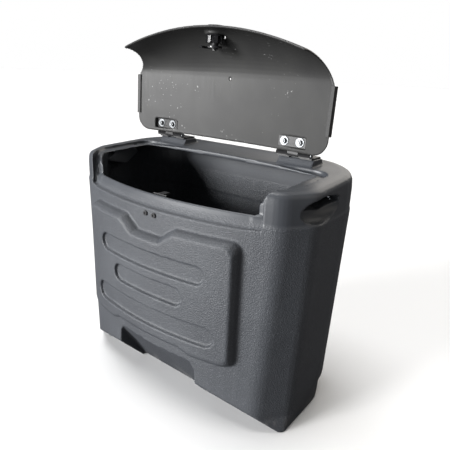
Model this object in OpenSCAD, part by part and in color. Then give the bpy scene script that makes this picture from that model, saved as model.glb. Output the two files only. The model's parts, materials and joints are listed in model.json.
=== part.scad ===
// Moulded bin with an attached, hinged lid: a thick-walled tub with two hand-hold pockets,
// a curved lid on two pinned hinges, and a quarter-turn latch. Millimetres, +Z up.
// The origin is at the middle of the bounding box, on the surface that the tub stands on.
// The lid parts are written where they lie with the lid shut, then swung open.

/* [Tub] */
// Width of the tub across its side walls, under the hand-holds
tub_w = 576; // [570:1:584]
// Height of the shoulders, at the sides of the opening
shoulder_z = 480; // [478:1:482]
// Thickness of the moulded wall
wall = 6; // [5:0.5:6.5]
// How far each side wall leans in from the hand-holds to the base
side_draft = 13; // [10:1:16]
// How far the raised front panel stands out
panel_proud = 20; // [16:1:22]

/* [Lid] */
// Width of the lid across its side edges
lid_w = 490; // [486:1:492]
// Thickness of the lid
lid_t = 4; // [3.5:0.5:4]
// Angle that the lid swings through from shut to open
lid_swing = 92.5; // [80:0.5:95]

/* [Hinges] */
// Distance from the middle of the tub to the middle of each hinge
hinge_x = 165; // [160:1:170]
// Length of each hinge
hinge_l = 74; // [70:1:76]
// Diameter of the hinge pins
pin_d = 5; // [4:0.5:5]
// Distance between the two bolts of a hinge
bolt_pitch = 34; // [32:1:36]

/* [Latch] */
// Diameter of the latch barrel's mounting nut
latch_nut_d = 36; // [32:1:36]

/* [Hidden] */

half_w = tub_w / 2;
rear_y = 166.5;
rear_r = 100;
bow_y = -146.5;
bow_edge_x = 252;
edge_draft = 22;
front_k = 1 / 1301;
crease_z = 422;
base_front_y = -66;
foot_z = 32;
rebate_z = 50;
rebate_d = 16;
bevel_slope = 0.95;
rim_ledge_z = 412.5;
rim_z = 433;
opening_w = 452;
axis_y = 75.5;
axis_z = 511;
lid_top_z = 508.5;
lid_crown = 25.6;
lip_z = 414.6;
lip_y = -139.5;
lid_bend_y = -57.5;
lid_rear_y = 70.5;
bow_k = 1 / 1320;
lip_k = 1 / 1240;
panel_w = 382;
panel_top = 388;
panel_bottom = 141;
lid_slope = 11.8;
latch_z = 454;
pad_out_y = -143;
pad_in_y = -131;
cam_y = -107;
hinge_pad_z = 505.5;
pocket_z = 500.5;
knuckle_r = axis_z - hinge_pad_z;
ramp_z = 502;
nut_seat_z = 478;
bolt_y = 52;
tub_bolt_y = 102;
striker_z = 434.5;
rail_y = -121.1;
screw_z = 400.5;
fine = 64;

// ---- shared shape functions ----

function clamp01(v) = max(0, min(1, v));
function mix(a, b, t) = a + (b - a) * t;
function bend(a, b, c, n) = [for (i = [0:n]) let (t = i / n)
    a * (1 - t) * (1 - t) + b * 2 * t * (1 - t) + c * t * t];
function mirrored(half) = concat(half, [for (i = [len(half) - 1:-1:0]) [-half[i][0], half[i][1]]]);

// One level outline of the tub. Its bowed front, corner chamfers, sides and big rear corners
// run from the middle of the front to the rear, then mirrored.
function plan(front_y, sag, edge_x, edge_r, side_x, side_y, rear, corner) =
    let (edge = [edge_x, front_y + sag],
        side = [side_x, side_y],
        along = (side - edge) / norm(side - edge),
        start_x = edge_x - edge_r,
        start = [start_x, front_y + sag * pow(start_x / edge_x, 2)],
        turn = min(14, edge_r))
    mirrored(concat(
        [for (i = [0:8]) let (x = start_x * (i + 0.02) / 9) [x, front_y + sag * pow(x / edge_x, 2)]],
        bend(start, edge, edge + edge_r * along, 4),
        bend(side - turn * along, side, side + [0, turn], 3),
        [for (a = [0:11.25:90]) [side_x - corner * (1 - cos(a)), rear - corner * (1 - sin(a))]]));

// The outside of the tub at one height, drawn in by inset. Near the base the corner chamfers
// run out into square corners, and the rear is rebated.
function tub_plan(z, inset) =
    let (low = clamp01((crease_z - z) / crease_z),
        side_x = half_w - side_draft * low - inset,
        bow_x = bow_edge_x - edge_draft * low,
        foot = 1 - clamp01(z / foot_z),
        edge_x = mix(bow_x, side_x - 5, foot) - 0.66 * inset,
        edge_y = mix(bow_y + front_k * bow_x * bow_x, base_front_y, foot) + 0.82 * inset,
        side_y = mix(-43, base_front_y + 5, foot) + 0.3 * inset,
        rear = rear_y - inset - rebate_d * clamp01((rebate_z - z) / 8))
    plan(bow_y + inset, edge_y - bow_y - inset, edge_x, mix(15, 4, foot), side_x, side_y, rear,
        rear_r - inset);

// The inside of the tub above the front rail, which is set back to leave the rail thick
function neck_plan(inset) =
    plan(-121.5, 28.5, 196, 20, half_w - inset - 3, -14, rear_y - inset, rear_r - inset);

// The top rises to the rear and is crowned across the middle
function top_rise(p) = 0.05 * (p[1] + 37.5) + 9 * (1 - pow(p[0] / half_w, 2));

// Closed solid through a stack of [z, share of the top's rise, outline] levels
module stack(levels) {
    n = len(levels[0][2]);
    m = len(levels);
    points = [for (l = levels) for (p = l[2]) [p[0], p[1], l[0] + l[1] * top_rise(p)]];
    sides = [for (i = [0:m - 2]) for (j = [0:n - 1]) let (k = (j + 1) % n)
        each [[i * n + j, (i + 1) * n + j, (i + 1) * n + k], [i * n + j, (i + 1) * n + k, i * n + k]]];
    half = n / 2;
    caps = [for (j = [0:half - 2]) let (k = n - 1 - j)
        each [[j, j + 1, k], [j + 1, k - 1, k],
            [(m - 1) * n + j, (m - 1) * n + k, (m - 1) * n + j + 1],
            [(m - 1) * n + j + 1, (m - 1) * n + k, (m - 1) * n + k - 1]]];
    polyhedron(points, concat(sides, caps));
}

// How far a section lies back at x: it follows the bow, and past turn_x it comes forward again
function bow_shift(x, k, turn_x) =
    k * pow(min(abs(x), turn_x), 2) - 0.42 * max(0, abs(x) - turn_x);

// Closed solid swept across X. A section point is [y, z, share of the bow, share of the crown]
module sweep_x(section, half_x, k, crown, steps, turn_x = 1000) {
    n = len(section);
    points = [for (i = [0:steps]) let (x = mix(-half_x, half_x, i / steps))
        for (s = section) [x, s[0] + s[2] * bow_shift(x, k, turn_x),
            s[1] - s[3] * crown * pow(x / half_x, 2)]];
    sides = [for (i = [0:steps - 1]) for (j = [0:n - 1]) let (q = (j + 1) % n)
        each [[i * n + j, i * n + q, (i + 1) * n + q], [i * n + j, (i + 1) * n + q, (i + 1) * n + j]]];
    half = n / 2;
    caps = [for (j = [0:half - 2]) let (q = n - 1 - j)
        each [[j, q, j + 1], [j + 1, q, q - 1],
            [steps * n + j, steps * n + j + 1, steps * n + q],
            [steps * n + j + 1, steps * n + q - 1, steps * n + q]]];
    polyhedron(points, concat(sides, caps));
}

module rounded_convex(r) {
    offset(r = r, $fn = 32) offset(delta = -r) children();
}

module swung_open() {
    translate([0, axis_y, axis_z]) rotate([-lid_swing, 0, 0])
        translate([0, -axis_y, -axis_z]) children();
}

// ---- tub ----

// Hand-hold on the right, grown by a wall: a long scoop, with a deep slot for the fingers that
// runs in and up from its upper half
module hand_hold(grow) {
    scoop_r = 23 + grow;
    scoop_l = 60 + grow;
    slot_h = 15 + grow;
    slot_l = 47 + grow;
    translate([281, -14, 445]) rotate([0, 0, -13.5]) rotate([3, 0, 0]) {
        translate([9, 0, 0]) rotate([90, 0, 0]) rotate_extrude($fn = fine)
            polygon([for (a = [-90:9:90]) [scoop_r * cos(a), scoop_l * sin(a)]]);
        translate([8, 0, 6]) rotate([0, -80, 0]) linear_extrude(height = 50 + grow)
            hull() {
                circle(r = slot_h, $fn = 32);
                for (end = [-1, 1]) translate([0, end * (slot_l - 6)]) circle(r = 6, $fn = 32);
            }
    }
}

module both_sides() {
    children();
    mirror([1, 0, 0]) children();
}

// Outline of the opening: bowed front, straight sides, slightly bowed rear
module opening_2d() {
    half = opening_w / 2;
    front = [for (x = [-half:half / 10:half]) [x, -123.6 + bow_k * x * x]];
    rear = [for (x = [half:-half / 10:-half]) [x, 70.5 - 7 * pow(x / half, 2)]];
    intersection() {
        rounded_convex(38) polygon(concat(front, [[half, 160], [-half, 160]]));
        rounded_convex(14) polygon(concat([[-half, -220], [half, -220]], rear));
    }
}

// Outline of the lid as seen from above, grown by a clearance
module lid_2d(grow) {
    half = lid_w / 2 + grow;
    offset(r = 30, $fn = 32) offset(delta = -30)
        polygon([[-half, lid_rear_y + grow], [half, lid_rear_y + grow], [half, -49.5],
            [half - 30, -106], [half - 32, -230], [32 - half, -230], [30 - half, -106], [-half, -49.5]]);
}

// A section closed straight up to a height above the tub
function up_to_top(section) =
    concat(section, [for (i = [len(section) - 1:-1:0]) [section[i][0], 570, section[i][2], 0]]);

// Everything above the stepped rim that the lid sits down over. The rim is low along the
// front, and climbs round the front corners of the opening to the shoulders.
module lid_space() {
    rail = [[-110, rim_z, 1, 0], [-128.5, rim_z, 1, 0], [-131.5, rim_z - 4.5, 1, 0],
        [-138, rim_ledge_z, 1, 0], [-142.8, rim_ledge_z - 1, 1, 0], [-143.4, 414, 1, 0],
        [-210, 414, 0, 0]];
    seat = [[86, 487, 0, 1], [32, 487, 0, 1], [-66.1, 477.5, 0.6, 0.3], [-88.1, 475, 1, 0],
        [-104.1, 469.5, 1, 0], [-111.1, 462.5, 1, 0], [-118.2, 452, 1, 0], [-128.1, rim_z, 1, 0],
        [-138, rim_ledge_z, 1, 0], [-210, 400, 1, 0]];
    intersection() {
        sweep_x(up_to_top(seat), 260, bow_k, 10, 40, turn_x = 196);
        translate([0, 0, 380]) linear_extrude(height = 200) lid_2d(5);
    }
    intersection() {
        sweep_x(up_to_top(concat(lid_section(-1.5), [[lip_y - 8, lip_z - 1.5, 1, 0]])),
            lid_w / 2, lip_k, lid_crown, 24);
        translate([0, 0, 380]) linear_extrude(height = 200) lid_2d(5);
    }
    intersection() {
        sweep_x(up_to_top(rail), 260, bow_k, 0, 26);
        translate([0, 0, 380]) linear_extrude(height = 200) rail_2d();
    }
}

// The low part of the rim, in front of the opening
module rail_2d() {
    rear = [for (x = [-218:218 / 8:218]) [x, -121 + bow_k * x * x]];
    polygon(concat([[218, -105], [221, -109], [221, -260], [-221, -260], [-221, -109], [-218, -105]],
        [for (p = rear) [p[0], min(p[1], -92)]]));
}

// The bevel under the bowed front, which cuts it back to one straight edge at the base
module front_bevel(inset) {
    back = base_front_y + inset * sqrt(1 + bevel_slope * bevel_slope);
    translate([-half_w, 0, 0]) rotate([90, 0, 90]) linear_extrude(height = tub_w)
        polygon([[back + 10 * bevel_slope, -10], [back - 60 * bevel_slope, 60],
            [back - 100 * bevel_slope - 5, 110], [-260, 110], [-260, -10]]);
}

module tub_outside() {
    difference() {
        stack([for (l = [[0, 1.6], [2, 0.4], [5, 0], [16, 0], [24, 0], [foot_z, 0], [rebate_z - 8, 0],
            [rebate_z, 0], [250, 0], [crease_z - 1, 0], [crease_z + 1, 1.6], [450, 1.6]])
            [l[0], 0, tub_plan(l[0], l[1])]]);
        front_bevel(0);
    }
    stack([for (l = [[448, 0, 1.6], [460, 0.4, 1.9], [shoulder_z - 9, 0.8, 3.2], [shoulder_z - 4, 1, 6.5],
        [shoulder_z - 1, 1, 13], [shoulder_z, 1, 24]]) [l[0], l[1], tub_plan(crease_z, l[2])]]);
}

module tub_inside() {
    difference() {
        stack([for (l = [[wall, wall + 5], [wall + 6, wall], [24, wall], [foot_z, wall],
            [rebate_z - 8, wall], [rebate_z, wall], [372, wall]]) [l[0], 0, tub_plan(l[0], l[1])]]);
        front_bevel(wall);
    }
    stack([[370, 0, tub_plan(370, wall + 1)], [388, 0, neck_plan(wall + 1)],
        [452, 0.4, neck_plan(wall + 5)], [shoulder_z - 9, 1, neck_plan(wall + 14)]]);
}

// Outline of the raised front panel, drawn in by e, with its notched top edge
module panel_2d(e) {
    half = panel_w / 2 - e;
    top = panel_top - 1.5 * e;
    low = panel_bottom + 2 * e;
    offset(r = 18, $fn = 32) offset(delta = -30) offset(r = 12, $fn = 32)
        polygon([[-half, low], [-108, low], [-82, low + 9], [82, low + 9], [108, low], [half, low],
            [half, top], [66 + e, top], [31 + e, top - 25], [-31 - e, top - 25], [-66 - e, top],
            [-half, top]]);
}

// Upright slab whose front follows the bow, at a distance proud of the tub's front
module bowed(proud, radius) {
    translate([0, bow_y - proud + radius, 100]) cylinder(r = radius, h = 340, $fn = 180);
}

module panel() {
    for (t = [0.25, 0.45, 0.62, 0.76, 0.87, 0.95, 1])
        intersection() {
            rotate([90, 0, 0]) translate([0, 0, 90]) linear_extrude(height = 90)
                panel_2d(7.5 * (1 - sqrt(1 - 0.97 * t * t)));
            bowed(t * panel_proud, 685);
        }
}

// Long rounded recess in the panel
module slot(half, z, h) {
    difference() {
        translate([0, -120, z]) rotate([90, 0, 0]) linear_extrude(height = 60)
            hull() {
                for (end = [-1, 1]) translate([end * (half - h / 2), 0]) circle(d = h, $fn = 32);
            }
        bowed(panel_proud - 7, 685);
    }
}

// Recess under the middle of the front, sloping back to the base, grown by a wall
module toe_recess(grow) {
    back = 1.2 * grow;
    intersection() {
        translate([-150, 0, 0]) rotate([90, 0, 90]) linear_extrude(height = 300)
            polygon([[back - 51, -10], [back - 57.5, 0], [back - 139.5, 122], [back - 139.5, 122 + grow],
                [-260, 122 + grow], [-260, -10]]);
        rotate([90, 0, 0]) linear_extrude(height = 300) offset(delta = grow)
            polygon([[-116, -10], [-107, 104], [-96, 122], [96, 122], [107, 104], [116, -10]]);
    }
}

module tub_shell() {
    color([0.13, 0.13, 0.14]) difference() {
        union() {
            difference() {
                tub_outside();
                lid_space();
            }
            panel();
            both_sides() hinge_ramp();
        }
        difference() {
            tub_inside();
            toe_recess(wall);
            both_sides() {
                hand_hold(5);
                translate([hinge_x - 37, 86, nut_seat_z]) cube([74, 32, 20]);
            }
        }
        translate([0, 0, 400]) linear_extrude(height = 200) opening_2d();
        both_sides() hand_hold(0);
        slot(137, 317, 36);
        slot(92, 263, 37);
        slot(159, 199, 40);
        toe_recess(0);
        for (side = [-1, 1]) {
            at_bolts(side, tub_bolt_y, 440) cylinder(d = 6.4, h = 80, $fn = fine);
            translate([side * (hinge_x + 11) - 28, 69, 478]) cube([56, 4, 30]);
        }
        at_screws(-100) cylinder(d = 5.4, h = 80, $fn = fine);
    }
}

// Moulded ramp under a hinge, sloping down to the front and the rear
module hinge_ramp() {
    hull() {
        translate([hinge_x - 39, 76, 480]) cube([78, 54, 4]);
        translate([hinge_x - 39, 87, ramp_z - 2]) cube([78, 33, 2]);
    }
}

// The two bolt places of one hinge
module at_bolts(side, y, z) {
    for (b = [-1, 1])
        translate([side * hinge_x + b * bolt_pitch / 2, y, z]) children();
}

// The two striker screws, pointing to the front
module at_screws(y) {
    for (x = [-11, 11])
        translate([x, y, screw_z]) rotate([90, 0, 0]) children();
}

// ---- lid ----

// Half of the lid's section, from its rear edge over the bend to the lip
function lid_section(gap) = concat([[lid_rear_y, lid_top_z + gap, 0, 1]],
    [for (a = [0:6:90]) [lid_bend_y + (lip_y - lid_bend_y - gap) * sin(a),
        lip_z + (lid_top_z + gap - lip_z) * cos(a), pow(sin(a), 1.2), pow(cos(a), 0.8)]]);

// Flat seat for one hinge on the outside of the lid
module hinge_pad(side) {
    translate([side * hinge_x - 39, 32, 490]) cube([78, lid_rear_y - 32.5, hinge_pad_z - 490]);
}

// Recess inside the lid for the washers and nuts of one hinge
module nut_pocket(side) {
    translate([side * hinge_x - 32, bolt_y - 10, 470]) cube([64, 21, pocket_z - 470]);
}

module latch_seat() {
    translate([0, pad_in_y, latch_z]) rotate([90, 0, 0])
        cylinder(d = 40, h = pad_in_y - pad_out_y, $fn = fine);
}

module lid_panel() {
    intersection() {
        sweep_x(concat(lid_section(0), [for (i = [16:-1:0]) lid_section(lid_t)[i]]),
            lid_w / 2, lip_k, lid_crown, 48);
        translate([0, 0, 380]) linear_extrude(height = 200) lid_2d(0);
    }
}

module lid_shell() {
    color([0.2, 0.2, 0.2]) swung_open() difference() {
        union() {
            difference() {
                for (side = [-1, 1]) hinge_pad(side);
                translate([0, 0, 1]) below_lid_block();
            }
            lid_panel();
            latch_seat();
        }
        translate([0, pad_in_y + 14, latch_z]) rotate([90, 0, 0]) cylinder(d = 40, h = 14, $fn = fine);
        translate([0, -100, latch_z]) rotate([90, 0, 0]) cylinder(d = 24.4, h = 80, $fn = fine);
        translate([0, -54, 480]) cylinder(d = 5, h = 60, $fn = fine);
        for (side = [-1, 1]) {
            nut_pocket(side);
            at_bolts(side, bolt_y, 480) cylinder(d = 6.4, h = 60, $fn = fine);
        }
    }
}

// The space under the lid's flat part, at its crown
module below_lid_block() {
    sweep_x([[lid_rear_y + 5, 400, 0, 0], [lid_bend_y, 400, 0, 0], [lid_bend_y, lid_top_z, 0, 1],
        [lid_rear_y + 5, lid_top_z, 0, 1]], lid_w / 2, 0, lid_crown, 24);
}

// Rubber edge trim, a channel pressed over the right side edge of the lid
module edge_trim() {
    color([0.06, 0.06, 0.06]) swung_open()
        translate([lid_w / 2, -52, lid_top_z - lid_crown + lid_t / 2]) rotate([0, lid_slope, 0])
            difference() {
                translate([-6, 0, -4.6]) cube([8, 86, 9.2]);
                translate([-7, -1, -2.2]) cube([7.4, 88, 4.4]);
            }
}

module lid_edge_trim_left() { mirror([1, 0, 0]) edge_trim(); }
module lid_edge_trim_right() { edge_trim(); }

// ---- hinges ----

// A knuckle along X, centred on the hinge axis
module knuckle(side, from, to) {
    translate([side * hinge_x + from, axis_y, axis_z]) rotate([0, 90, 0]) difference() {
        cylinder(r = knuckle_r, h = to - from, $fn = fine);
        translate([0, 0, -1]) cylinder(d = pin_d + 0.1, h = to - from + 2, $fn = fine);
    }
}

module lid_leaf(side) {
    third = hinge_l / 6;
    color([0.1, 0.1, 0.1]) swung_open() difference() {
        union() {
            translate([side * hinge_x - hinge_l / 2, 36, hinge_pad_z]) cube([hinge_l, 32, 2.5]);
            translate([side * hinge_x - third + 0.3, 60, hinge_pad_z])
                cube([2 * third - 0.6, axis_y - 60, 2.5]);
            knuckle(side, 0.3 - third, third - 0.3);
        }
        at_bolts(side, bolt_y, 480) cylinder(d = 6.4, h = 60, $fn = fine);
        translate([side * hinge_x - hinge_l / 2 - 1, axis_y, axis_z]) rotate([0, 90, 0])
            cylinder(d = pin_d + 0.1, h = hinge_l + 2, $fn = fine);
    }
}

module tub_leaf(side) {
    third = hinge_l / 6;
    color([0.1, 0.1, 0.1]) difference() {
        union() {
            translate([side * hinge_x - hinge_l / 2, 86, ramp_z]) cube([hinge_l, 32, 3]);
            for (b = [-2, 2]) {
                translate([side * hinge_x + b * third - third, axis_y, ramp_z + 3.5])
                    cube([2 * third, knuckle_r, 5]);
                translate([side * hinge_x + b * third - third, axis_y + 4, ramp_z])
                    cube([2 * third, 9, 4]);
                knuckle(side, b * third - third, b * third + third);
            }
        }
        at_bolts(side, tub_bolt_y, 480) cylinder(d = 6.4, h = 60, $fn = fine);
        translate([side * hinge_x - hinge_l / 2 - 1, axis_y, axis_z]) rotate([0, 90, 0])
            cylinder(d = pin_d + 0.1, h = hinge_l + 2, $fn = fine);
    }
}

// Headed pin, put in from the right
module hinge_pin(side) {
    color([0.75, 0.75, 0.74])
    translate([side * hinge_x - hinge_l / 2 - 1, axis_y, axis_z]) rotate([0, 90, 0]) {
        cylinder(d = pin_d, h = hinge_l + 1.2, $fn = fine);
        translate([0, 0, hinge_l + 1.2]) cylinder(r = knuckle_r - 1, h = 2, $fn = fine);
    }
}

// Steel strip under the washers, in the pocket of the lid
module backing_plate(side) {
    color([0.12, 0.12, 0.12]) swung_open() difference() {
        translate([side * hinge_x - 30, bolt_y - 9.3, pocket_z - 1.2]) cube([60, 19.5, 1.2]);
        at_bolts(side, bolt_y, 480) cylinder(d = 6.4, h = 60, $fn = fine);
    }
}

module lid_bolts(side) {
    color([0.7, 0.7, 0.7]) swung_open() at_bolts(side, bolt_y, 0) {
        translate([0, 0, pocket_z - 9.5]) cylinder(d = 6, h = 17.1, $fn = fine);
        translate([0, 0, hinge_pad_z + 2.5]) cylinder(d1 = 11, d2 = 8, h = 3, $fn = fine);
    }
}

module lid_washers(side) {
    color([0.85, 0.86, 0.88]) swung_open() at_bolts(side, bolt_y, pocket_z - 2.7) difference() {
        cylinder(d = 18, h = 1.5, $fn = fine);
        translate([0, 0, -1]) cylinder(d = 6.4, h = 4, $fn = fine);
    }
}

module hex_nut(across, h, bore) {
    difference() {
        cylinder(d = across / cos(30), h = h, $fn = 6);
        translate([0, 0, -1]) cylinder(d = bore, h = h + 2, $fn = fine);
    }
}

module lid_nuts(side) {
    color([0.85, 0.86, 0.88]) swung_open() at_bolts(side, bolt_y, pocket_z - 7.7) hex_nut(10, 5, 6.1);
}

module tub_bolts(side) {
    color([0.7, 0.7, 0.7]) at_bolts(side, tub_bolt_y, 0) {
        translate([0, 0, nut_seat_z - 8]) cylinder(d = 6, h = ramp_z + 11.2 - nut_seat_z, $fn = fine);
        translate([0, 0, ramp_z + 3]) cylinder(d1 = 11, d2 = 8, h = 3.3, $fn = fine);
    }
}

module tub_nuts(side) {
    color([0.85, 0.86, 0.88]) at_bolts(side, tub_bolt_y, nut_seat_z - 6.5) {
        hex_nut(10, 5, 6.1);
        translate([0, 0, 5]) difference() {
            cylinder(d = 18, h = 1.5, $fn = fine);
            translate([0, 0, -1]) cylinder(d = 6.4, h = 4, $fn = fine);
        }
    }
}

module hinge_leaf_lid_left() { lid_leaf(-1); }
module hinge_leaf_lid_right() { lid_leaf(1); }
module hinge_leaf_tub_left() { tub_leaf(-1); }
module hinge_leaf_tub_right() { tub_leaf(1); }
module hinge_pin_left() { hinge_pin(-1); }
module hinge_pin_right() { hinge_pin(1); }
module backing_plate_left() { backing_plate(-1); }
module backing_plate_right() { backing_plate(1); }
module lid_bolts_left() { lid_bolts(-1); }
module lid_bolts_right() { lid_bolts(1); }
module lid_washers_left() { lid_washers(-1); }
module lid_washers_right() { lid_washers(1); }
module lid_nuts_left() { lid_nuts(-1); }
module lid_nuts_right() { lid_nuts(1); }
module tub_bolts_left() { tub_bolts(-1); }
module tub_bolts_right() { tub_bolts(1); }
module tub_nuts_left() { tub_nuts(-1); }
module tub_nuts_right() { tub_nuts(1); }

// ---- latch: its axis runs along Y with the lid shut ----

// Places a latch part with its axis upwards from the given Y, seen from the rear
module on_latch(y) {
    swung_open() translate([0, y, latch_z]) rotate([-90, 0, 0]) children();
}

module latch_body() {
    color([0.05, 0.05, 0.05]) on_latch(pad_out_y - 4.5) difference() {
        union() {
            cylinder(d = 33, h = 3, $fn = fine);
            cylinder(d = 24, h = 31, $fn = fine);
        }
        translate([0, 0, -1]) cylinder(d = 18, h = 5, $fn = fine);
        translate([0, 0, -1]) cylinder(d = 14.6, h = 40, $fn = fine);
    }
}

module latch_gasket() {
    color([0.04, 0.04, 0.04]) on_latch(pad_out_y - 1.5) difference() {
        cylinder(d = 32, h = 1.5, $fn = fine);
        translate([0, 0, -1]) cylinder(d = 24.1, h = 4, $fn = fine);
    }
}

// Three-sided boss that a key turns, in the mouth of the latch body
module latch_key_boss() {
    color([0.6, 0.6, 0.6]) on_latch(pad_out_y - 4) {
        cylinder(d = 9, h = 3.5, $fn = 3);
        translate([0, 0, 2]) cylinder(d = 17.4, h = 1.45, $fn = fine);
    }
}

module latch_spindle() {
    color([0.7, 0.7, 0.7]) on_latch(pad_out_y - 0.5) difference() {
        union() {
            cylinder(d = 14, h = 31.9, $fn = fine);
            translate([-4.5, -4.5, 31]) cube([9, 9, 4.6]);
        }
        translate([0, 0, 20]) cylinder(d = 4.1, h = 30, $fn = fine);
    }
}

// Ribbed ring nut that holds the latch in the lid
module latch_nut() {
    color([0.03, 0.03, 0.03]) on_latch(pad_in_y) difference() {
        union() {
            cylinder(d = latch_nut_d, h = 3, $fn = fine);
            cylinder(d = latch_nut_d - 4, h = 15, $fn = fine);
            for (a = [0:45:315]) rotate([0, 0, a])
                translate([latch_nut_d / 2 - 4, -3, 0]) cube([3.7, 6, 15]);
        }
        translate([0, 0, -1]) cylinder(d = 24.1, h = 17, $fn = fine);
    }
}

// Flat cam with a curved hook that passes under the striker's tab
module latch_cam() {
    color([0.04, 0.04, 0.04]) on_latch(cam_y - 4) mirror([1, 0, 0]) difference() {
        union() {
            cylinder(r = 14, h = 4, $fn = fine);
            rotate([0, 0, -62]) rotate_extrude(angle = 92, $fn = fine) translate([25, 0]) square([6, 4]);
            rotate([0, 0, -56]) translate([0, -4.5, 0]) cube([29, 9, 4]);
        }
        translate([-4.6, -4.6, -1]) cube([9.2, 9.2, 6]);
    }
}

module latch_cam_screw() {
    color([0.8, 0.8, 0.8]) on_latch(cam_y + 0.2) {
        cylinder(d = 14, h = 1.2, $fn = fine);
        translate([0, 0, 1.2]) hex_head();
        translate([0, 0, -12]) cylinder(d = 4, h = 12.1, $fn = fine);
    }
}

module hex_head() {
    cylinder(d = 7 / cos(30), h = 3, $fn = 6);
}

// ---- striker ----

module striker_plate() {
    color([0.7, 0.7, 0.7]) difference() {
        union() {
            translate([-17, rail_y, 386]) cube([34, 2, striker_z - 386]);
            translate([-7, rail_y, striker_z - 2.5]) cube([14, 20, 2.5]);
        }
        at_screws(-100) cylinder(d = 5.4, h = 80, $fn = fine);
    }
}

module striker_screws() {
    color([0.1, 0.1, 0.1]) {
        at_screws(-113) cylinder(d = 5, h = 33.6, $fn = fine);
        at_screws(-146.6) difference() {
            cylinder(d1 = 10.5, d2 = 9, h = 2.6, $fn = fine);
            translate([0, 0, 1]) cylinder(d = 5, h = 3, $fn = 6);
        }
    }
}

module striker_nuts() {
    color([0.8, 0.8, 0.8]) at_screws(rail_y + 6.2) hex_nut(8, 4, 5.1);
}

tub_shell();
lid_shell();
lid_edge_trim_left();
lid_edge_trim_right();
hinge_leaf_lid_left();
hinge_leaf_lid_right();
hinge_leaf_tub_left();
hinge_leaf_tub_right();
hinge_pin_left();
hinge_pin_right();
backing_plate_left();
backing_plate_right();
lid_bolts_left();
lid_bolts_right();
lid_washers_left();
lid_washers_right();
lid_nuts_left();
lid_nuts_right();
tub_bolts_left();
tub_bolts_right();
tub_nuts_left();
tub_nuts_right();
latch_body();
latch_gasket();
latch_key_boss();
latch_spindle();
latch_nut();
latch_cam();
latch_cam_screw();
striker_plate();
striker_screws();
striker_nuts();
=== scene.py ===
"""Visual model of a lidded bin: moulded plastic shells around the CAD frame, and its hardware."""
import json
import math

import bpy
import numpy as np
from mathutils import Matrix, Vector


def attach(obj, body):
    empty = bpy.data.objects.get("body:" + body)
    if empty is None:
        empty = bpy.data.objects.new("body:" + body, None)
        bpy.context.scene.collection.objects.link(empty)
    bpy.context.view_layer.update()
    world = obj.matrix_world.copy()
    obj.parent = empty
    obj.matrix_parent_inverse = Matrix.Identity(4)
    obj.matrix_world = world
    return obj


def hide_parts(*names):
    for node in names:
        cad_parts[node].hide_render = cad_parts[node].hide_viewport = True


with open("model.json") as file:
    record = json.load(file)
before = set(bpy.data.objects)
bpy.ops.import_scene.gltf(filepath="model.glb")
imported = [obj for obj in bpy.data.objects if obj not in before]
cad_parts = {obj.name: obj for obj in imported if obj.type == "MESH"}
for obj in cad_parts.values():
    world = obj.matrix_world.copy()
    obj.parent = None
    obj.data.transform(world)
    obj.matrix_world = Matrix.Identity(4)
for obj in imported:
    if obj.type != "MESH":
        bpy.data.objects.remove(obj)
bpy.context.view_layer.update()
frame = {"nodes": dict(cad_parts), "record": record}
NODES = frame["nodes"]

CREASE_Z = 0.422          # line round the tub under the hand-holds
CREASE_BLEND = 0.003      # the finish changes from this far below it to as far above
SCUFF_TOP = 0.05          # scuffs on the base have faded out at this height


# ---- materials ----

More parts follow.
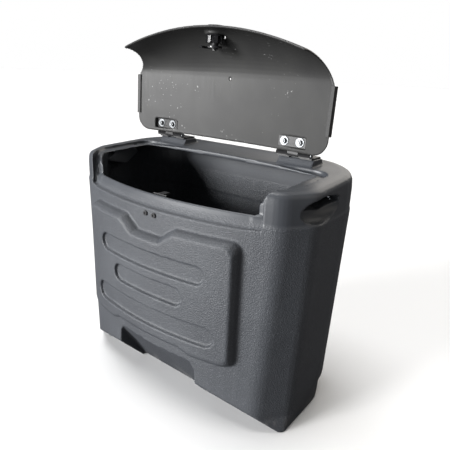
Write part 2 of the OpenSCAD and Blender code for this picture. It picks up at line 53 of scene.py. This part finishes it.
class Graph:
    """Short way to write a material's node tree."""

    def __init__(self, name):
        self.mat = bpy.data.materials.new(name)
        self.mat.use_nodes = True
        self.tree = self.mat.node_tree
        self.tree.nodes.clear()
        self.out = self.add("ShaderNodeOutputMaterial")
        self.bsdf = self.add("ShaderNodeBsdfPrincipled")
        self.link(self.bsdf, "BSDF", self.out, "Surface")
        self.coord = self.add("ShaderNodeTexCoord")

    def add(self, kind, **values):
        node = self.tree.nodes.new(kind)
        for key, value in values.items():
            if hasattr(node, key):
                setattr(node, key, value)
            else:
                node.inputs[key.replace("_", " ")].default_value = value
        return node

    def link(self, a, out, b, into):
        self.tree.links.new(a.outputs[out], b.inputs[into])

    def noise(self, scale, detail=2.0, rough=0.5, stretch=None):
        """Noise by object coordinates, in metres; stretch multiplies them along each axis."""
        n = self.add("ShaderNodeTexNoise", Scale=scale, Detail=detail, Roughness=rough)
        source, out = self.coord, "Object"
        if stretch:
            source, out = self.add("ShaderNodeMapping"), "Vector"
            source.inputs["Scale"].default_value = stretch
            self.link(self.coord, "Object", source, "Vector")
        self.link(source, out, n, "Vector")
        return n

    def ramp(self, source, out, low, high, a=0.0, b=1.0):
        """Takes low to a and high to b, and goes no further."""
        r = self.add("ShaderNodeMapRange")
        for key, value in (("From Min", low), ("From Max", high), ("To Min", a), ("To Max", b)):
            r.inputs[key].default_value = value
        self.link(source, out, r, "Value")
        return r

    def times(self, a, a_out, b, b_out):
        m = self.add("ShaderNodeMath", operation="MULTIPLY")
        self.tree.links.new(a.outputs[a_out], m.inputs[0])
        self.tree.links.new(b.outputs[b_out], m.inputs[1])
        return m

    def plus(self, a, a_out, b, b_out):
        m = self.add("ShaderNodeMath", operation="ADD")
        self.tree.links.new(a.outputs[a_out], m.inputs[0])
        self.tree.links.new(b.outputs[b_out], m.inputs[1])
        return m

    def mix(self, factor, f_out, a, b):
        """Colour mix; a and b are colours or (node, output)."""
        m = self.add("ShaderNodeMix", data_type="RGBA")
        self.tree.links.new(factor.outputs[f_out], m.inputs[0])
        for socket, value in ((m.inputs[6], a), (m.inputs[7], b)):
            if isinstance(value[0], float):
                socket.default_value = (*value, 1.0)
            else:
                self.tree.links.new(value[0].outputs[value[1]], socket)
        return m

    def height(self):
        """Object Z."""
        s = self.add("ShaderNodeSeparateXYZ")
        self.link(self.coord, "Object", s, "Vector")
        return s

    def bump(self, source, out, strength, distance, under=None):
        """Bump by a height; distance is in metres, and under is a bump that it lies on."""
        b = self.add("ShaderNodeBump")
        b.inputs["Strength"].default_value = strength
        b.inputs["Distance"].default_value = distance
        self.link(source, out, b, "Height")
        if under:
            self.link(under, "Normal", b, "Normal")
        return b

    def done(self, rough=None, metallic=0.0, normal=None, **values):
        self.bsdf.inputs["Metallic"].default_value = metallic
        if rough is not None:
            self.bsdf.inputs["Roughness"].default_value = rough
        for key, value in values.items():
            self.bsdf.inputs[key.replace("_", " ")].default_value = value
        if normal:
            self.link(normal, "Normal", self.bsdf, "Normal")
        return self.mat


def tub_plastic():
    """Charcoal polyethylene, pebbled below the crease, smoother and shinier above it."""
    g = Graph("tub_plastic")
    z = g.height()
    lower = g.ramp(z, "Z", CREASE_Z + CREASE_BLEND, CREASE_Z - CREASE_BLEND)
    tone = g.noise(7.0, 3.0)
    spots = g.noise(520.0, 2.0, 0.6)
    scuff = g.noise(38.0, 6.0, 0.75, (1.0, 1.0, 0.5))
    base_mask = g.ramp(z, "Z", SCUFF_TOP, 0.0)
    worn = g.times(g.ramp(scuff, "Fac", 0.52, 0.66), "Result", base_mask, "Result")
    c = g.mix(g.ramp(tone, "Fac", 0.3, 0.7), "Result", (0.034, 0.037, 0.043), (0.046, 0.050, 0.057))
    c = g.mix(g.times(g.ramp(spots, "Fac", 0.55, 0.8), "Result", lower, "Result"), "Value",
              (c, 2), (0.115, 0.122, 0.134))
    c = g.mix(worn, "Value", (c, 2), (0.13, 0.13, 0.13))
    g.link(c, 2, g.bsdf, "Base Color")
    gloss = g.plus(g.ramp(tone, "Fac", 0.3, 0.7, 0.42, 0.48), "Result",
                   g.ramp(lower, "Result", 0.0, 1.0, 0.0, 0.08), "Result")
    g.link(gloss, "Value", g.bsdf, "Roughness")
    pebble = g.noise(480.0, 2.0, 0.6)
    fine = g.times(g.ramp(pebble, "Fac", 0.3, 0.7), "Result",
                   g.ramp(lower, "Result", 0.0, 1.0, 0.12, 1.0), "Result")
    waves = g.noise(26.0, 2.0)
    slow = g.bump(waves, "Fac", 0.12, 0.0008)
    return g.done(normal=g.bump(fine, "Value", 0.65, 0.0007, slow), Specular_IOR_Level=0.5)


def lid_plastic():
    """Smooth satin charcoal plastic, with fine scratches and pale specks."""
    g = Graph("lid_plastic")
    tone = g.noise(9.0, 4.0)
    scratch = g.noise(60.0, 8.0, 0.7, (9.0, 1.0, 0.35))
    specks = g.noise(210.0, 1.0)
    zone = g.noise(11.0, 1.0)
    pale = g.times(g.ramp(specks, "Fac", 0.72, 0.76), "Result",
                   g.ramp(zone, "Fac", 0.5, 0.62), "Result")
    c = g.mix(g.ramp(tone, "Fac", 0.3, 0.7), "Result", (0.027, 0.027, 0.027), (0.038, 0.038, 0.037))
    c = g.mix(g.ramp(scratch, "Fac", 0.62, 0.8, 0.0, 0.35), "Result", (c, 2), (0.11, 0.11, 0.11))
    c = g.mix(pale, "Value", (c, 2), (0.32, 0.32, 0.32))
    g.link(c, 2, g.bsdf, "Base Color")
    g.link(g.ramp(scratch, "Fac", 0.3, 0.75, 0.36, 0.48), "Result", g.bsdf, "Roughness")
    waves = g.noise(18.0, 2.0)
    slow = g.bump(waves, "Fac", 0.3, 0.0014)
    return g.done(normal=g.bump(scratch, "Fac", 0.12, 0.0003, slow), Specular_IOR_Level=0.19)


def rubber():
    g = Graph("rubber")
    n = g.noise(500.0, 2.0)
    c = g.mix(g.ramp(n, "Fac", 0.4, 0.7), "Result", (0.018, 0.018, 0.018), (0.035, 0.035, 0.035))
    g.link(c, 2, g.bsdf, "Base Color")
    return g.done(rough=0.62, normal=g.bump(n, "Fac", 0.2, 0.0002))


def black_paint():
    g = Graph("black_paint")
    n = g.noise(900.0, 2.0)
    wear = g.noise(160.0, 5.0, 0.7)
    c = g.mix(g.ramp(wear, "Fac", 0.66, 0.74), "Result", (0.020, 0.020, 0.021), (0.16, 0.16, 0.16))
    g.link(c, 2, g.bsdf, "Base Color")
    return g.done(rough=0.45, normal=g.bump(n, "Fac", 0.25, 0.0001), Specular_IOR_Level=0.4)


def zinc():
    g = Graph("zinc")
    n = g.noise(300.0, 4.0, 0.65, (1.0, 6.0, 1.0))
    c = g.mix(g.ramp(n, "Fac", 0.35, 0.7), "Result", (0.12, 0.125, 0.13), (0.26, 0.27, 0.28))
    g.link(c, 2, g.bsdf, "Base Color")
    g.link(g.ramp(n, "Fac", 0.3, 0.75, 0.4, 0.52), "Result", g.bsdf, "Roughness")
    return g.done(metallic=1.0, normal=g.bump(n, "Fac", 0.12, 0.0001))


def gloss_black():
    g = Graph("gloss_black")
    n = g.noise(240.0, 3.0)
    c = g.mix(g.ramp(n, "Fac", 0.4, 0.7), "Result", (0.012, 0.012, 0.013), (0.022, 0.022, 0.024))
    g.link(c, 2, g.bsdf, "Base Color")
    g.link(g.ramp(n, "Fac", 0.3, 0.7, 0.18, 0.28), "Result", g.bsdf, "Roughness")
    return g.done(normal=g.bump(n, "Fac", 0.12, 0.0002), Specular_IOR_Level=0.6)


def floor_paper():
    """Pale to the eye, and dim as a source of bounced light."""
    g = Graph("floor_paper")
    path = g.add("ShaderNodeLightPath")
    c = g.mix(path, "Is Camera Ray", (0.10, 0.10, 0.105), (0.78, 0.78, 0.78))
    g.link(c, 2, g.bsdf, "Base Color")
    return g.done(rough=0.9, Specular_IOR_Level=0.0)


FINISH = {"tub": tub_plastic(), "lid": lid_plastic(), "trim": rubber(), "hinge": black_paint(),
          "zinc": zinc(), "latch": gloss_black()}


# ---- soft moulded shells ----

WELD = 0.00001            # CAD vertices closer than this are one
SHRINK, SWELL = 0.6, -0.62        # the two steps of a smoothing round, which nearly keep the volume
TUB_VOXEL, LID_VOXEL = 0.002, 0.0015
TUB_ROUNDS, TUB_RIM_ROUNDS, LID_ROUNDS = 16, 6, 14
TUB_KEEP, LID_KEEP = 0.25, 0.35
RIM_Z = 0.402             # above this the tub gets fewer rounds, so the rim keeps its edges
RIM_BLEND = 0.012         # height below RIM_Z over which the other rounds fade out


def smooth_step(co, a, b, count, amount):
    """Moves every vertex towards the mean of its neighbours, or away if amount is negative."""
    total = np.zeros_like(co)
    for k in range(3):
        total[:, k] = np.bincount(a, co[b, k], len(co)) + np.bincount(b, co[a, k], len(co))
    return co + amount * (total / count[:, None] - co)


def skin_of(obj):
    """The object's mesh with its modifiers applied, which are then removed."""
    bpy.context.view_layer.update()
    skin = bpy.data.meshes.new_from_object(obj.evaluated_get(bpy.context.evaluated_depsgraph_get()))
    obj.modifiers.clear()
    obj.data = skin
    return skin


def moulded(node, name, voxel, rounds, sharp_rounds, sharp_above, keep, body, slot):
    """The CAD node as one skin whose edges are rounded, as on moulded plastic. It gets rounds of
    smoothing, but sharp_rounds above the height sharp_above. keep is the share of faces kept."""
    obj = bpy.data.objects.new(name, NODES[node].data.copy())
    bpy.context.scene.collection.objects.link(obj)
    obj.modifiers.new("weld", "WELD").merge_threshold = WELD
    remesh = obj.modifiers.new("remesh", "REMESH")
    remesh.mode = "VOXEL"
    remesh.voxel_size = voxel
    remesh.adaptivity = 0.0
    skin = skin_of(obj)
    n = len(skin.vertices)
    co = np.empty(n * 3)
    skin.vertices.foreach_get("co", co)
    co = co.reshape(-1, 3)
    edges = np.empty(len(skin.edges) * 2, dtype=np.int64)
    skin.edges.foreach_get("vertices", edges)
    a, b = edges.reshape(-1, 2).T
    count = np.bincount(a, minlength=n) + np.bincount(b, minlength=n)
    count = np.maximum(count, 1).astype(float)
    soft = np.clip((sharp_above - co[:, 2]) / RIM_BLEND, 0.0, 1.0)[:, None]
    for k in range(rounds):
        share = soft if k >= sharp_rounds else 1.0
        co = smooth_step(co, a, b, count, SHRINK * share)
        co = smooth_step(co, a, b, count, SWELL * share)
    skin.vertices.foreach_set("co", co.astype(np.float32).ravel())
    skin.update()
    obj.modifiers.new("decimate", "DECIMATE").ratio = keep
    skin = skin_of(obj)
    skin.materials.clear()
    skin.materials.append(FINISH[slot])
    skin.shade_smooth()
    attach(obj, body)
    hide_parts(node)


moulded("tub_shell", "tub_skin", TUB_VOXEL, TUB_ROUNDS, TUB_RIM_ROUNDS, RIM_Z, TUB_KEEP,
        "tub", "tub")
moulded("lid_shell", "lid_skin", LID_VOXEL, LID_ROUNDS, LID_ROUNDS, 0.0, LID_KEEP, "lid", "lid")


# ---- hardware: the CAD pieces with small rounded edges ----

SLOTS = {s["node"]: s["material_slot"] for s in frame["record"]["subparts"]}
BEVELS = {"trim": 0.0009, "hinge": 0.0005, "zinc": 0.0004, "latch": 0.0006}
SHARP_ANGLE = 35          # degrees; an edge that turns more than this is rounded
for node, obj in NODES.items():
    slot = SLOTS[node]
    if slot in ("tub", "lid"):
        continue
    obj.data.materials.clear()
    obj.data.materials.append(FINISH[slot])
    obj.modifiers.new("weld", "WELD").merge_threshold = WELD
    bevel = obj.modifiers.new("bevel", "BEVEL")
    bevel.width = BEVELS[slot]
    bevel.segments = 2
    bevel.limit_method = "ANGLE"
    bevel.angle_limit = math.radians(SHARP_ANGLE)
    bevel.harden_normals = True


# ---- stage: floor, lights, camera ----

FLOOR = 30.0              # half the floor's width
PANEL_PLACE, PANEL_AIM = (-0.15, -1.7, 0.25), (0.1, 0.0, 0.3)
# the camera's place, and the directions of its picture's right, down and depth
EYE = (0.5883, -0.6910, 0.6593)
RIGHT = Vector((0.7870, 0.6155, 0.0422))
DOWN = Vector((0.2332, -0.2335, -0.9440))
AHEAD = Vector((-0.5712, 0.7528, -0.3273))


def sun(name, towards_light, strength, spread, colour=(1.0, 1.0, 1.0)):
    """Distant light, whose spread in degrees is how soft its shadows are."""
    lamp = bpy.data.lights.new(name, "SUN")
    lamp.energy = strength
    lamp.angle = math.radians(spread)
    lamp.color = colour
    obj = bpy.data.objects.new(name, lamp)
    obj.rotation_euler = Vector(towards_light).to_track_quat("Z", "Y").to_euler()
    bpy.context.scene.collection.objects.link(obj)


floor_mesh = bpy.data.meshes.new("floor")
corners = [(-FLOOR, -FLOOR, 0), (FLOOR, -FLOOR, 0), (FLOOR, FLOOR, 0), (-FLOOR, FLOOR, 0)]
floor_mesh.from_pydata(corners, [], [(0, 1, 2, 3)])
floor_mesh.materials.append(floor_paper())
floor = bpy.data.objects.new("floor", floor_mesh)
bpy.context.scene.collection.objects.link(floor)

sun("key", (-0.5, -1.0, 0.2), 6.0, 22.0)
sun("top", (-0.25, -0.1, 1.0), 2.6, 40.0)
sun("rear", (-0.1, 1.0, 0.6), 1.3, 50.0, (1.0, 0.95, 0.88))
sun("side", (1.0, 0.25, 0.5), 0.35, 40.0, (1.0, 0.92, 0.82))
panel = bpy.data.lights.new("front_panel", "AREA")
panel.shape = "RECTANGLE"
panel.size, panel.size_y = 1.1, 0.5
panel.energy = 16.0
front = bpy.data.objects.new("front_panel", panel)
front.location = PANEL_PLACE
towards_aim = Vector(PANEL_AIM) - front.location
front.rotation_euler = towards_aim.to_track_quat("-Z", "Y").to_euler()
bpy.context.scene.collection.objects.link(front)
bpy.context.scene.view_settings.view_transform = "Standard"

# white to the camera, and dim as a light
world = bpy.data.worlds.new("studio")
world.use_nodes = True
bpy.context.scene.world = world
wt = world.node_tree
wt.nodes.clear()
w_out = wt.nodes.new("ShaderNodeOutputWorld")
w_mix = wt.nodes.new("ShaderNodeMixShader")
w_path = wt.nodes.new("ShaderNodeLightPath")
w_light = wt.nodes.new("ShaderNodeBackground")
w_light.inputs["Color"].default_value = (0.95, 0.97, 1.0, 1.0)
w_light.inputs["Strength"].default_value = 0.16
w_seen = wt.nodes.new("ShaderNodeBackground")
w_seen.inputs["Color"].default_value = (1.0, 1.0, 1.0, 1.0)
w_seen.inputs["Strength"].default_value = 1.0
wt.links.new(w_path.outputs["Is Camera Ray"], w_mix.inputs[0])
wt.links.new(w_light.outputs[0], w_mix.inputs[1])
wt.links.new(w_seen.outputs[0], w_mix.inputs[2])
wt.links.new(w_mix.outputs[0], w_out.inputs["Surface"])

camera = bpy.data.cameras.new("camera")
camera.sensor_width = 36.0
camera.lens = 36.0
camera.clip_end = 100.0
eye = bpy.data.objects.new("camera", camera)
bpy.context.scene.collection.objects.link(eye)
turn = Matrix((RIGHT, -DOWN, -AHEAD)).transposed().to_4x4()
eye.matrix_world = Matrix.Translation(EYE) @ turn
bpy.context.scene.camera = eye
